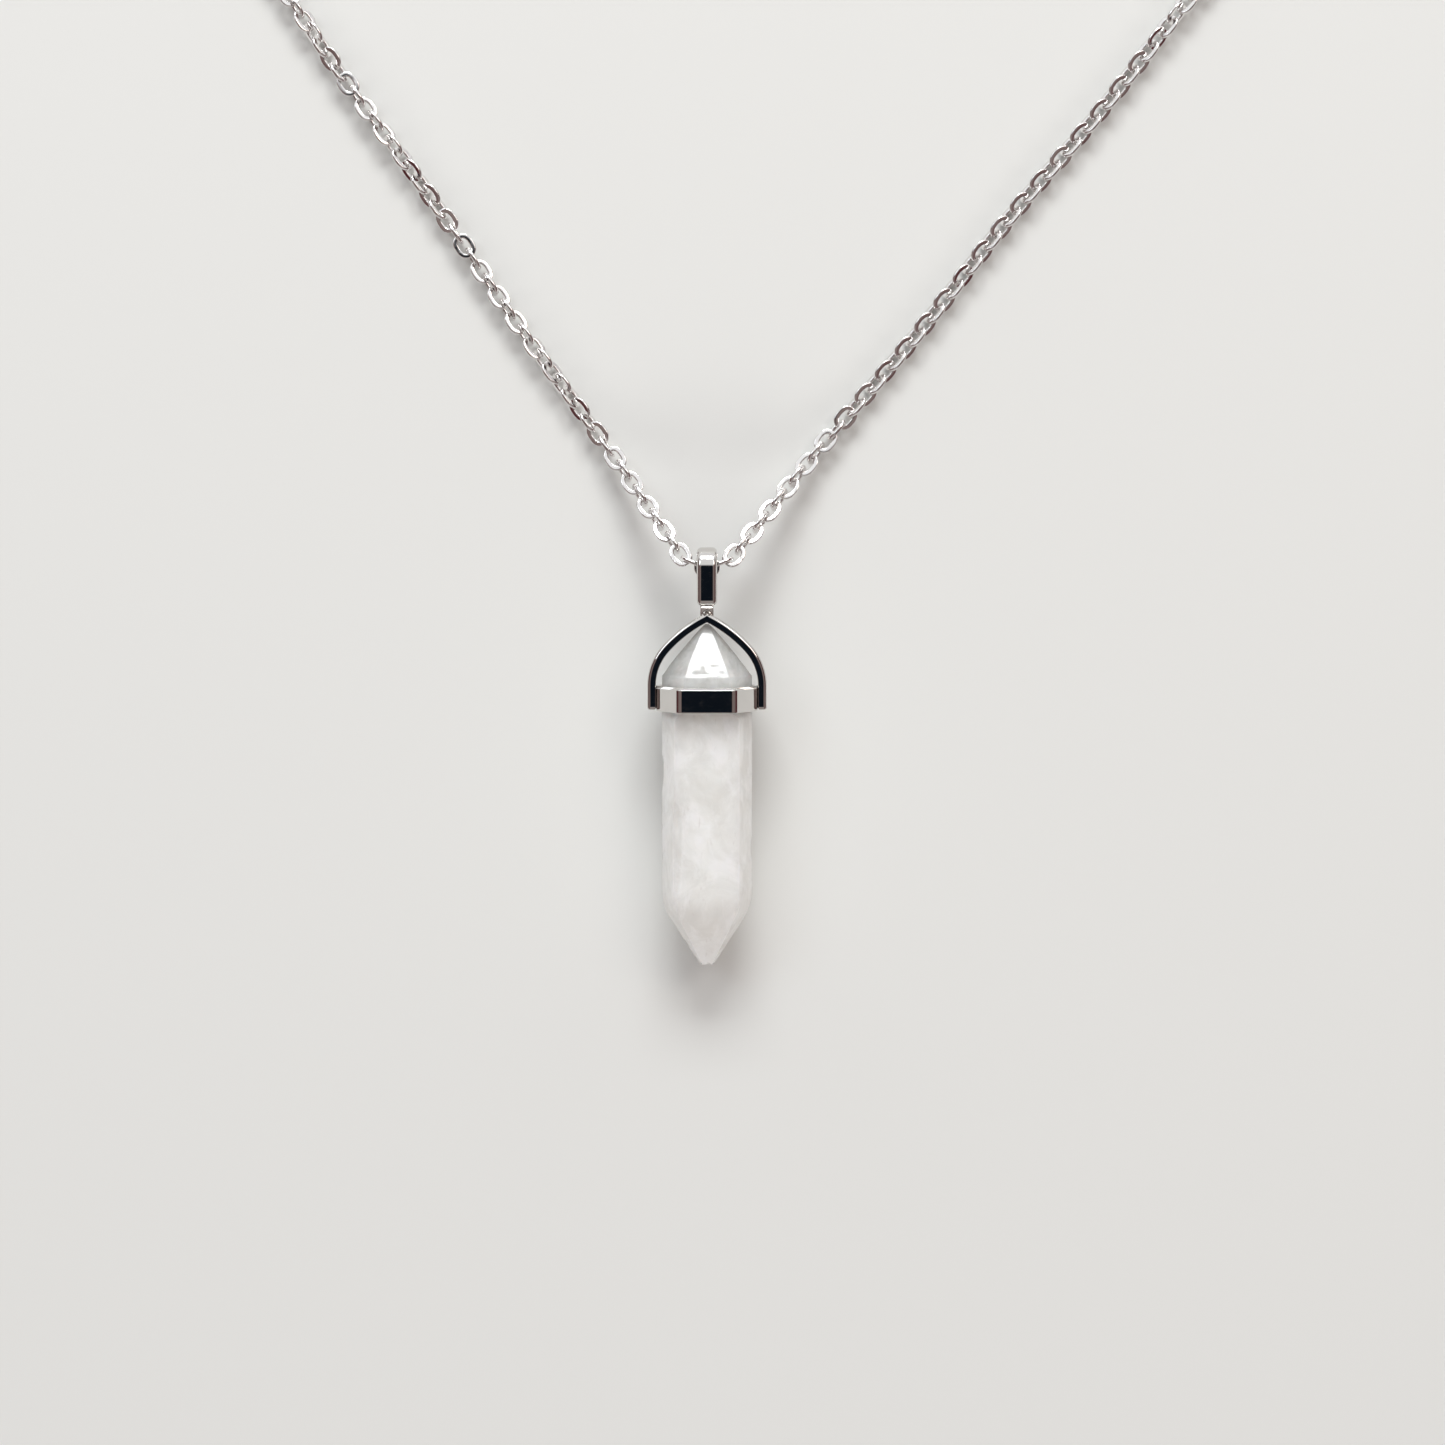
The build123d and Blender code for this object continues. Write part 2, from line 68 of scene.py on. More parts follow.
# ---- cap and bail, in the pendant's own frame: x across, y towards the bail, z to the front ----
BAND_WALL = 0.8
BAND_CORNER = 0.8               # rounding of the hexagon's corners
BAND_INNER_CORNER = 0.05
BAND_CHAMFER = 0.24             # bevel of the upper rim
BAND_RIM = 0.06                 # bevel of the lower rim
BAND_BEVEL = 0.035
ARCH_METAL = 0.85
ARCH_SPRING = -11.4             # where the arch leaves the upright
ARCH_SHOULDER = (4.3, -7.55)    # where the round shoulder meets the rafter
ARCH_EDGE = 0.34                # rounding of the strip's two outer edges
ARCH_INNER_EDGE = 0.06
ARCH_LEAST_EDGE = 0.04          # rounding that is left where the section shrinks at the feet
ARCH_FOOT_RINGS = [(0.0, 0.18), (0.05, 0.07), (0.18, 0.0), (0.3, 0.0)]    # height, inset
BAIL_STRIP = 0.62
BAIL_CORNERS = (2.0, 0.5)       # outside corner radii of the bail at its top and its foot
BAIL_EDGE = 0.45                # rounding of the strip's outer edges
BAIL_INNER_EDGE = 0.06
NECK_EDGE = 0.16
NECK_FOOT_DEPTH = 0.45          # the neck's depth at the arch, of its full depth at the bail
NECK_FLARE = 1.5                # above one, most of the widening is near the bail
NECK_LEVELS = 7

# ---- crystal: each section is a hexagon, (distance along, size, half of its front facet) ----
CRYSTAL_HALF_FACE = 3.1         # half of the front facet's width on the body
CRYSTAL_UPPER_FACE = 2.25       # and inside the band, where it is narrower
UPPER_SHOULDER = -10.4
BAND_FOOT = -13.83              # the band's lower rim, from where the front facet widens
BODY_TOP = -14.4                # where it has its full width
LOWER_SHOULDER = -32.85
CRYSTAL_SECTIONS = [
    (UPPER_SHOULDER, 1.0, CRYSTAL_UPPER_FACE),
    (BAND_FOOT, 1.0, CRYSTAL_UPPER_FACE),
    (BODY_TOP, 1.0, CRYSTAL_HALF_FACE),
    (LOWER_SHOULDER, 1.0, CRYSTAL_HALF_FACE),
]
CRYSTAL_APEX_SCALE = 0.04
CRYSTAL_TIP_SCALE = 0.15
POINT_SWELL = 0.88              # below one, the upper point's facets swell between apex and shoulder
CRYSTAL_EDGE = 0.24             # rounding of the upright edges
SHOULDER_SOFTEN = 0.15          # the edges across the pendant are rounded over this length
LOWER_SOFTEN = 1.3              # and the worn lower shoulder over this one
SOFTEN_STEPS = 4
CRYSTAL_STEP = 0.16             # spacing of the mesh along the pendant
CRYSTAL_WAVE = 0.02             # unevenness of the hand-polished facets
POINT_WAVE = 0.12               # the same on the upper point
WAVE_SCALE = 0.4                # waves per mm
RIPPLE_SCALE = 1.7              # ripples per mm
RIPPLE_PART = 0.4               # ripples are this much of a wave

# Flakes broken out of the crystal: centre, then radii across, up, down and front to back.
FLAKES = [
    ((-5.55, -18.95, 0.9), (1.35, 1.7, 6.2, 2.6)),
    ((-3.2, -24.9, 4.6), (1.0, 3.0, 9.0, 1.22)),
    ((0.12, -38.9, 0.6), (0.36, 0.75, 0.5, 0.8)),
    ((4.75, -27.0, 0.4), (0.5, 1.6, 2.4, 1.5)),
    ((3.3, -33.2, 3.9), (0.7, 0.9, 1.2, 0.55)),
]
NICKS = 18                      # small nicks along the edges
NICK_SIZE = (0.12, 0.3)
NICK_LENGTH = (0.8, 3.2)        # of its size
NICK_HEIGHT = (0.55, 0.85)      # its centre stands off the edge by this much of its size
NICK_FRONT_SHARE = 0.55         # this share of them is on the front facet's edges

# ---- chain ----
LINK_LENGTH = 2.55
LINK_WIDTH = 2.0
WIRE = 0.5
LINK_STEPS = 32                 # stations around a link
LINK_SQUARENESS = 2.5           # 2 is an ellipse, more is squarer at the ends
WIRE_FLAT = 0.34                # thickness of the wire between its two flattened faces
FLAT_CROWN = [(0.13, 0.004), (0.0, 0.006), (-0.13, 0.004)]    # across a flattened face, height
WIRE_ARC = 42                   # the wire's round sides reach this far above and below, degrees
WIRE_ARC_STEP = 14
LINK_LEAN = 17.0                # links roll this far about the chain's line, degrees
LINK_UNEVEN = 2.0               # and lie this unevenly
ROLL_TOWARDS = Vector((0.1, 1)) # the side that their faces turn to
BAIL_CLEARANCE = 3.4            # links nearer the bail's middle than this don't roll
SEAM_DEPTH = 0.012              # groove where a link was closed

# ---- clasp ----
BODY_EDGE = 0.12                # rounding of the cast body's edges
LEVER_EDGE = 0.07
CAST_ANGLE = 32.0               # edges sharper than this are rounded, degrees
FLAT_ANGLE = 1.0                # CAD facets that turn by less than this are merged, degrees

# ---- picture ----
FLOOR_SIZE = 6.0                # metres from the middle to each side
FLOOR_GAP = 0.02                # between the table and the necklace's lowest point
LIGHTS = [
    # name, azimuth, elevation, distance, width and height in metres, watts, colour
    ("window", 0, 31, 0.9, 0.5, 0.24, 6.0, (0.98, 1.0, 1.0)),
    ("warm", 50, 44, 0.9, 0.36, 0.3, 0.95, (1.0, 0.92, 0.85)),
    ("cool", -54, 42, 0.9, 0.36, 0.3, 0.95, (0.85, 0.94, 1.0)),
    ("fill", 180, 22, 1.1, 0.9, 0.25, 5.0, (1.0, 0.99, 0.96)),
]
VIEW_WIDTH = 139.6              # width of the picture at the necklace
VIEW_OFFSET = (1.5, -15.0)      # picture centre from the chain's line in the bail
CAMERA_HEIGHT = 420.0
SENSOR = 36.0

joints = {joint["name"]: joint for joint in frame["joints"]}
mounts = {mount["name"]: mount for mount in frame["record"]["mounts"]}

# ---- the pendant's frame ----
bail_centre = Vector(joints["pendant_flip"]["pos_m"])
pendant_front = -Vector(mounts["band_back"]["axis"])
pendant_right = Vector((1, 0, 0))
pendant_up = pendant_front.cross(pendant_right)
pendant = Matrix((pendant_right, pendant_up, pendant_front)).transposed().to_4x4()
pendant.translation = bail_centre
pendant = pendant @ Matrix.Scale(MM, 4)


def local_box(node, place):
    """Lowest and highest corner of a CAD node in a piece's own frame, in millimetres."""
    back = place.inverted()
    corners = [back @ vertex.co for vertex in frame["nodes"][node].data.vertices]
    low = Vector([min(corner[axis] for corner in corners) for axis in range(3)])
    high = Vector([max(corner[axis] for corner in corners) for axis in range(3)])
    return low, high


# ---------------------------------------------------------------- materials

def new_material(name, **settings):
    """A material with one Principled shader, its sockets set by name."""
    made = bpy.data.materials.new(name)
    made.use_nodes = True
    shader = made.node_tree.nodes["Principled BSDF"]
    for socket, value in settings.items():
        shader.inputs[socket.replace("_", " ")].default_value = value
    return made, shader


def add_node(made, kind, inputs=None, **attributes):
    """A shader node; an input is a value, or another node's output to link."""
    node = made.node_tree.nodes.new(kind)
    for name, value in attributes.items():
        setattr(node, name, value)
    for socket, value in (inputs or {}).items():
        if isinstance(value, bpy.types.NodeSocket):
            made.node_tree.links.new(value, node.inputs[socket])
        else:
            node.inputs[socket].default_value = value
    return node


def per_mm(made, stretch=(1, 1, 1), turn=0.0):
    """Object coordinates in millimetres, optionally stretched and turned about z."""
    place = add_node(made, "ShaderNodeTexCoord").outputs["Object"]
    scale = [value / MM for value in stretch]
    mapping = add_node(
        made,
        "ShaderNodeMapping",
        {"Vector": place, "Scale": scale, "Rotation": (0, 0, radians(turn))},
    )
    return mapping.outputs["Vector"]


def noise_value(made, place, scale, detail=2.0, roughness=0.5, distortion=0.0):
    texture = add_node(
        made,
        "ShaderNodeTexNoise",
        {
            "Vector": place,
            "Scale": scale,
            "Detail": detail,
            "Roughness": roughness,
            "Distortion": distortion,
        },
    )
    return texture.outputs["Fac"]


def remap(made, value, from_low, from_high, to_low, to_high):
    node = add_node(
        made,
        "ShaderNodeMapRange",
        {
            "Value": value,
            "From Min": from_low,
            "From Max": from_high,
            "To Min": to_low,
            "To Max": to_high,
        },
    )
    return node.outputs["Result"]


def mix_colour(made, factor, first, second):
    node = add_node(made, "ShaderNodeMix", data_type="RGBA")
    made.node_tree.links.new(factor, node.inputs["Factor"])
    for socket, value in (("A", first), ("B", second)):
        target = [i for i in node.inputs if i.name == socket and i.type == "RGBA"][0]
        if isinstance(value, bpy.types.NodeSocket):
            made.node_tree.links.new(value, target)
        else:
            target.default_value = (*value, 1)
    return [o for o in node.outputs if o.type == "RGBA"][0]


def combine(made, operation, first, second):
    node = add_node(made, "ShaderNodeMath", operation=operation)
    for index, value in enumerate((first, second)):
        if isinstance(value, bpy.types.NodeSocket):
            made.node_tree.links.new(value, node.inputs[index])
        else:
            node.inputs[index].default_value = value
    return node.outputs[0]


def bump(made, shader, height, depth):
    """Bump of a depth in millimetres on a shader."""
    node = add_node(made, "ShaderNodeBump", {"Height": height, "Distance": depth * MM})
    made.node_tree.links.new(node.outputs["Normal"], shader.inputs["Normal"])


def polished_metal(name, bright, dull, gloss, haze, ripple):
    """Polished plate: faint colour drift, hazy patches, hairline scratches and a slow ripple."""
    made, shader = new_material(name, Metallic=1.0)
    place = per_mm(made)
    links = made.node_tree.links
    drift = noise_value(made, place, 0.7, 3, 0.55)
    links.new(mix_colour(made, drift, dull, bright), shader.inputs["Base Color"])
    patches = noise_value(made, place, 1.6, 4, 0.6, 0.4)
    links.new(remap(made, patches, 0.42, 0.72, gloss, haze), shader.inputs["Roughness"])
    across = noise_value(made, per_mm(made, (0.6, 14, 0.6), 24), 1.0, 2)
    along = noise_value(made, per_mm(made, (11, 0.5, 0.8), -13), 1.0, 2)
    hairlines = combine(made, "ADD", remap(made, across, 0.66, 0.72, 0, 0.008),
                        remap(made, along, 0.67, 0.73, 0, 0.008))
    waves = noise_value(made, place, 0.45, 1)
    bump(made, shader, combine(made, "SUBTRACT", waves, hairlines), ripple)
    return made


chain_metal = polished_metal("chain_metal", (0.90, 0.88, 0.87), (0.80, 0.78, 0.77), 0.06, 0.18, 0.02)
cap_metal = polished_metal("cap_metal", (0.70, 0.68, 0.66), (0.63, 0.61, 0.59), 0.03, 0.12, 0.02)
clasp_metal = polished_metal("clasp_metal", (0.74, 0.73, 0.72), (0.64, 0.63, 0.62), 0.1, 0.26, 0.02)

# drawn spring wire
spring_metal, spring_shader = new_material("spring_metal", Metallic=1.0)
drawn = noise_value(spring_metal, per_mm(spring_metal, (9, 9, 2)), 1.0, 2)
spring_metal.node_tree.links.new(
    mix_colour(spring_metal, drawn, (0.42, 0.42, 0.42), (0.62, 0.62, 0.61)),
    spring_shader.inputs["Base Color"],
)
spring_metal.node_tree.links.new(
    remap(spring_metal, drawn, 0.3, 0.7, 0.22, 0.45), spring_shader.inputs["Roughness"]
)
bump(spring_metal, spring_shader, drawn, 0.01)

# clear adhesive with a few bubbles
cement, cement_shader = new_material(
    "cement", Roughness=0.25, Subsurface_Weight=0.6, Subsurface_Scale=1.2 * MM, IOR=1.5
)
bubbles = noise_value(cement, per_mm(cement), 2.2, 2)
cement.node_tree.links.new(
    mix_colour(cement, bubbles, (0.72, 0.70, 0.66), (0.86, 0.85, 0.82)),
    cement_shader.inputs["Base Color"],
)
bump(cement, cement_shader, bubbles, 0.05)

# milky quartz: clouded body, clearer towards the point inside the cap
quartz, quartz_shader = new_material(
    "quartz",
    IOR=1.54,
    Subsurface_Weight=1.0,
    Subsurface_Scale=5.0 * MM,
    Subsurface_Radius=(1.0, 0.95, 0.92),
)
quartz_links = quartz.node_tree.links
quartz_place = per_mm(quartz)
clouds = noise_value(quartz, quartz_place, 0.22, 6, 0.62, 0.8)
veils = noise_value(quartz, per_mm(quartz, (0.55, 0.3, 0.5), 32), 1.0, 6, 0.66, 0.5)
wisps = noise_value(quartz, per_mm(quartz, (2.4, 0.7, 1.6), -20), 1.0, 3, 0.6, 0.4)
milk = mix_colour(
    quartz, remap(quartz, clouds, 0.36, 0.64, 0, 1), (0.815, 0.813, 0.788), (0.93, 0.937, 0.915)
)
milk = mix_colour(quartz, remap(quartz, veils, 0.52, 0.72, 0, 0.75), milk, (0.985, 0.985, 0.98))
milk = mix_colour(quartz, remap(quartz, wisps, 0.62, 0.74, 0, 0.5), milk, (0.74, 0.72, 0.70))
quartz_links.new(milk, quartz_shader.inputs["Base Color"])
along_pendant = add_node(
    quartz,
    "ShaderNodeSeparateXYZ",
    {"Vector": add_node(quartz, "ShaderNodeTexCoord").outputs["Object"]},
).outputs["Y"]
foot_y = (pendant @ Vector((0, BAND_FOOT, 0))).y
head_y = (pendant @ Vector((0, UPPER_SHOULDER, 0))).y
clear = remap(quartz, along_pendant, foot_y, head_y, 0.08, 0.4)
cloudless = combine(quartz, "MULTIPLY", clear, remap(quartz, clouds, 0.4, 0.62, 1.2, 0.8))
quartz_links.new(cloudless, quartz_shader.inputs["Transmission Weight"])
polish = noise_value(quartz, quartz_place, 0.9, 3)
quartz_links.new(remap(quartz, polish, 0.35, 0.7, 0.05, 0.2), quartz_shader.inputs["Roughness"])
bump(quartz, quartz_shader, noise_value(quartz, quartz_place, 0.7, 3, 0.45), 0.03)


# ---------------------------------------------------------------- mesh helpers

def arc_points(start, direction, end, count):
    """Points of the arc that leaves start along direction and ends at end, and its last direction."""
    start, direction, end = Vector(start), Vector(direction).normalized(), Vector(end)
    chord = end - start
    normal = Vector((-direction.y, direction.x))
    reach = chord.length_squared / (2 * chord.dot(normal))
    centre = start + normal * reach
    first = atan2(start.y - centre.y, start.x - centre.x)
    last = atan2(end.y - centre.y, end.x - centre.x)
    sweep = (last - first + pi) % (2 * pi) - pi
    radius = abs(reach)
    points = []
    for step in range(1, count + 1):
        angle = first + sweep * step / count
        points.append(centre + Vector((cos(angle), sin(angle))) * radius)
    turned = Vector((-sin(last), cos(last))) * (1 if sweep > 0 else -1)
    return points, turned


def rounded_loop(corners, radii, arc_steps, side_steps=1):
    """A closed loop of points around a convex polygon, each corner rounded by its own radius."""
    arcs = []
    for index, (corner, radius) in enumerate(zip(corners, radii)):
        corner = Vector(corner)
        back = (Vector(corners[index - 1]) - corner).normalized()
        ahead = (Vector(corners[(index + 1) % len(corners)]) - corner).normalized()
        half = back.angle(ahead) / 2
        centre = corner + (back + ahead).normalized() * radius / sin(half)
        first = corner + back * radius / tan(half) - centre
        last = corner + ahead * radius / tan(half) - centre
        turn = atan2(first.x * last.y - first.y * last.x, first.dot(last))
        arcs.append(
            [
                centre + Matrix.Rotation(turn * step / arc_steps, 2) @ first
                for step in range(arc_steps + 1)
            ]
        )
    loop = []
    for arc, following in zip(arcs, arcs[1:] + arcs[:1]):
        loop += arc
        loop += [
            arc[-1].lerp(following[0], step / side_steps) for step in range(1, side_steps)
        ]
    return loop


def grid_faces(rows, columns, close_rows):
    """Quads between rows of vertices, each row closed on itself."""
    faces = []
    for row in range(rows if close_rows else rows - 1):
        for column in range(columns):
            below = row * columns
            above = (row + 1) % rows * columns
            beside = (column + 1) % columns
            faces.append((below + column, below + beside, above + beside, above + column))
    return faces


def shell(rings, closed=False):
    """A mesh through rings of points, capped at both ends unless the rings close up."""
    points = [point for ring in rings for point in ring]
    columns = len(rings[0])
    faces = grid_faces(len(rings), columns, close_rows=closed)
    if not closed:
        faces.append(tuple(reversed(range(columns))))
        faces.append(tuple(range(len(points) - columns, len(points))))
    return points, faces


def make_piece(name, points, faces, place, bevel=0.0):
    """An object from points in millimetres: edges bevelled, shaded smooth, moved into the frame."""
    mesh = bpy.data.meshes.new(name)
    mesh.from_pydata([tuple(point) for point in points], [], faces)
    work = bmesh.new()
    work.from_mesh(mesh)
    bmesh.ops.remove_doubles(work, verts=work.verts, dist=WELD)
    bmesh.ops.recalc_face_normals(work, faces=work.faces)
    work.to_mesh(mesh)
    work.free()
    piece = bpy.data.objects.new(name, mesh)
    bpy.context.scene.collection.objects.link(piece)
    return finish_piece(piece, place, bevel)


def finish_piece(piece, place, bevel, bevel_angle=35.0):
    """Bevel in millimetres, bake the result into the mesh, and move it into the frame."""
    for polygon in piece.data.polygons:
        polygon.use_smooth = True
    if bevel:
        rounding = piece.modifiers.new("edges", "BEVEL")
        rounding.width = bevel
        rounding.segments = 3
        rounding.limit_method = "ANGLE"
        rounding.angle_limit = radians(bevel_angle)
        rounding.use_clamp_overlap = True
        rounding.miter_outer = "MITER_ARC"
    weighted = piece.modifiers.new("normals", "WEIGHTED_NORMAL")
    weighted.keep_sharp = False
    baked = bpy.data.meshes.new_from_object(
        piece.evaluated_get(bpy.context.evaluated_depsgraph_get())
    )
    piece.modifiers.clear()
    piece.data = baked
    baked.transform(place)
    return piece


def dress(piece, body, slot, material, *nodes):
    """Give a piece its material and its body, and hide the CAD nodes that it stands for; slot is not used."""
    piece.data.materials.clear()
    piece.data.materials.append(material)
    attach(piece, body)
    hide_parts(*nodes)
    return piece


# ---------------------------------------------------------------- cap

band_low, band_high = local_box("cap_band", pendant)
band_middle = (band_low.z + band_high.z) / 2
band_apothem = (band_high.z - band_low.z) / 2


def hexagon(apothem):
    """Corners of a regular hexagon in the band's section, flat at the front and the back."""
    side = apothem / cos(pi / 6)
    return [(side * cos(k * pi / 3), side * sin(k * pi / 3)) for k in range(6)]


def band_ring(inset, height, corner):
    """A ring of the band's mesh, its two side corners cut off where the CAD band ends."""
    loop = rounded_loop(hexagon(band_apothem - inset), [corner] * 6, arc_steps=8, side_steps=4)
    clipped = [(min(max(point.x, band_low.x), band_high.x), point.y) for point in loop]
    return [Vector((x, height, band_middle + z)) for x, z in clipped]


band_rings = [
    band_ring(BAND_RIM, band_low.y, BAND_CORNER - BAND_RIM),
    band_ring(0, band_low.y + BAND_RIM, BAND_CORNER),
    band_ring(0, band_high.y - BAND_CHAMFER, BAND_CORNER),
    band_ring(BAND_CHAMFER, band_high.y, BAND_CORNER - BAND_CHAMFER),
    band_ring(BAND_WALL, band_high.y, BAND_INNER_CORNER),
    band_ring(BAND_WALL, band_low.y, BAND_INNER_CORNER),
]
points, faces = shell(band_rings, closed=True)
band = make_piece("band", points, faces, pendant, bevel=BAND_BEVEL)
dress(band, "pendant", "cap_metal", cap_metal, "cap_band")

arch_low, arch_high = local_box("cap_arch", pendant)
arch_middle = (arch_low.z + arch_high.z) / 2
arch_depth = arch_high.z - arch_low.z
arch_path = [Vector((arch_high.x, arch_low.y + height)) for height, _ in ARCH_FOOT_RINGS]
arch_path.append(Vector((arch_high.x, ARCH_SPRING)))
arch_slopes = [Vector((0, 1))] * len(arch_path)
shoulder, slope = arc_points(arch_path[-1], (0, 1), ARCH_SHOULDER, count=10)
rafter, apex_slope = arc_points(shoulder[-1], slope, (0, arch_high.y), count=14)
for stretch, leaves in ((shoulder, slope), (rafter, apex_slope)):
    previous = arch_path[-1]
    for index, point in enumerate(stretch):
        following = stretch[index + 1] if index + 1 < len(stretch) else point + leaves
        arch_path.append(point)
        arch_slopes.append((point - previous).normalized() + (following - point).normalized())
        previous = point
arch_slopes[-1] = apex_slope


def arch_section(inset):
    """The strip's rounded section, shrunk by inset towards its middle."""
    outer, inner, half = -inset, inset - ARCH_METAL, arch_depth / 2 - inset
    outer_edge = max(ARCH_EDGE - inset, ARCH_LEAST_EDGE)
    return rounded_loop(
        [(outer, -half), (outer, half), (inner, half), (inner, -half)],
        (outer_edge, outer_edge, ARCH_INNER_EDGE, ARCH_INNER_EDGE),
        arc_steps=8,
    )


foot_insets = [inset for _, inset in ARCH_FOOT_RINGS]
arch_insets = foot_insets + [0.0] * (len(arch_path) - len(foot_insets))
outwards = [Vector((along.y, -along.x)).normalized() for along in arch_slopes]
outwards[-1] = Vector((0, 1))   # the two rafters meet in the middle
right_rings = []
for point, outward, inset in zip(arch_path, outwards, arch_insets):
    right_rings.append(
        [
            Vector((point.x + outward.x * out, point.y + outward.y * out, arch_middle + front))
            for out, front in arch_section(inset)
        ]
    )
left_rings = [
    [Vector((-point.x, point.y, point.z)) for point in ring] for ring in reversed(right_rings[:-1])
]
points, faces = shell(right_rings + left_rings)
arch = make_piece("arch", points, faces, pendant)
dress(arch, "pendant", "cap_metal", cap_metal, "cap_arch")

# ---- bail: a strip with rounded edges, bent to a closed loop ----
bail_low, bail_high = local_box("bail_loop", pendant)
top_corner, foot_corner = BAIL_CORNERS
bail_outline = rounded_loop(
    [
        (bail_high.y, bail_low.z),
        (bail_high.y, bail_high.z),
        (bail_low.y, bail_high.z),
        (bail_low.y, bail_low.z),
    ],
    (top_corner, top_corner, foot_corner, foot_corner),
    arc_steps=16,
)
bail_section = rounded_loop(
    [
        (bail_low.x, 0),
        (bail_high.x, 0),
        (bail_high.x, BAIL_STRIP),
        (bail_low.x, BAIL_STRIP),
    ],
    (BAIL_EDGE, BAIL_EDGE, BAIL_INNER_EDGE, BAIL_INNER_EDGE),
    arc_steps=6,
)
bail_rings = []
for index, point in enumerate(bail_outline):
    along = (bail_outline[(index + 1) % len(bail_outline)] - bail_outline[index - 1]).normalized()
    inward = Vector((-along.y, along.x))
    bail_rings.append(
        [
            Vector((across, point.x + inward.x * inset, point.y + inward.y * inset))
            for across, inset in bail_section
        ]
    )
points, faces = shell(bail_rings, closed=True)
bail = make_piece("bail", points, faces, pendant)
dress(bail, "pendant", "cap_metal", cap_metal, "bail_loop")

# ---- neck: its front and back slope in towards the arch ----
neck_low, neck_high = local_box("bail_neck", pendant)
neck_middle = (neck_low + neck_high) / 2
neck_loop = rounded_loop(
    [
        (neck_low.x, neck_low.z),
        (neck_high.x, neck_low.z),
        (neck_high.x, neck_high.z),
        (neck_low.x, neck_high.z),
    ],
    [NECK_EDGE] * 4,
    arc_steps=5,
)
neck_rings = []
for step in range(NECK_LEVELS):
    level = step / (NECK_LEVELS - 1)
    depth = NECK_FOOT_DEPTH + (1 - NECK_FOOT_DEPTH) * level ** NECK_FLARE
    neck_rings.append(
        [
            Vector(
                (
                    point.x,
                    neck_low.y + (neck_high.y - neck_low.y) * level,
                    neck_middle.z + (point.y - neck_middle.z) * depth,
                )
            )
            for point in neck_loop
        ]
    )
points, faces = shell(neck_rings)
neck = make_piece("neck", points, faces, pendant)
dress(neck, "pendant", "cap_metal", cap_metal, "bail_neck")

# ---------------------------------------------------------------- crystal

crystal_low, crystal_high = local_box("crystal_point", pendant)
crystal_middle = (crystal_low.z + crystal_high.z) / 2
half_depth = (crystal_high.z - crystal_low.z) / 2
half_width = (crystal_high.x - crystal_low.x) / 2
crystal_sections = (
    [(crystal_high.y, CRYSTAL_APEX_SCALE, CRYSTAL_UPPER_FACE)]
    + CRYSTAL_SECTIONS
    + [(crystal_low.y, CRYSTAL_TIP_SCALE, CRYSTAL_HALF_FACE)]
)


def crystal_section(level):
    """The crystal's size and half front facet at a distance along the pendant."""
    for upper, lower in zip(crystal_sections, crystal_sections[1:]):
        if level >= lower[0]:
            part = (upper[0] - level) / (upper[0] - lower[0])
            if upper is crystal_sections[0]:
                part = part ** POINT_SWELL
            return tuple(a + (b - a) * part for a, b in zip(upper[1:], lower[1:]))
    return crystal_sections[-1][1:]


def flaked(point, flakes):
    """Push a point out of every flake's hollow, away from the middle of the hollow."""
    for centre, (across, up, down, deep) in flakes:
        offset = point - Vector(centre)
        radii = Vector((across, up if offset.y > 0 else down, deep))
        unit = Vector([value / radius for value, radius in zip(offset, radii)])
        if 0 < unit.length < 1:
            unit.normalize()
            point = Vector(centre) + Vector([value * radius for value, radius in zip(unit, radii)])
    return point


chance = random.Random(7)
nicks = []
for _ in range(NICKS):
    level = chance.uniform(crystal_low.y + NICK_SIZE[1], BODY_TOP)
    scale, half_face = crystal_section(level)
    side = chance.choice((-1, 1))
    if chance.random() < NICK_FRONT_SHARE:
        edge = Vector((side * half_face * scale, level, crystal_middle + half_depth * scale))
    else:
        edge = Vector((side * half_width * scale, level, crystal_middle))
    outward = Vector((edge.x, 0, edge.z - crystal_middle)).normalized()
    size = chance.uniform(*NICK_SIZE)
    length = size * chance.uniform(*NICK_LENGTH)
    centre = edge + outward * size * chance.uniform(*NICK_HEIGHT)
    nicks.append((tuple(centre), (size, length, length, size)))

level_count = round((crystal_high.y - crystal_low.y) / CRYSTAL_STEP)
crystal_rings = []
for step in range(level_count + 1):
    level = crystal_high.y + (crystal_low.y - crystal_high.y) * step / level_count
    reach = LOWER_SOFTEN if level < LOWER_SHOULDER + 2 * LOWER_SOFTEN else SHOULDER_SOFTEN
    reach = min(reach, level - crystal_low.y, crystal_high.y - level)
    sizes = [
        crystal_section(level + reach * shift / SOFTEN_STEPS)
        for shift in range(-SOFTEN_STEPS, SOFTEN_STEPS + 1)
    ]
    scale = sum(size[0] for size in sizes) / len(sizes)
    half_face = sum(size[1] for size in sizes) / len(sizes)
    outline = rounded_loop(
        [
            (half_width, 0),
            (half_face, half_depth),
            (-half_face, half_depth),
            (-half_width, 0),
            (-half_face, -half_depth),
            (half_face, -half_depth),
        ],
        [CRYSTAL_EDGE] * 6,
        arc_steps=4,
        side_steps=22,
    )
    ring = []
    wave = POINT_WAVE if level > UPPER_SHOULDER else CRYSTAL_WAVE
    for x, z in outline:
        place = Vector((x * scale, level, z * scale))
        ripple = RIPPLE_PART * noise.noise(place * RIPPLE_SCALE)
        sink = wave * scale * (1 + noise.noise(place * WAVE_SCALE) + ripple)
        place -= Vector((x, 0, z)).normalized() * sink
        place.z += crystal_middle
        ring.append(flaked(place, FLAKES + nicks))
    crystal_rings.append(ring)
points, faces = shell(crystal_rings)
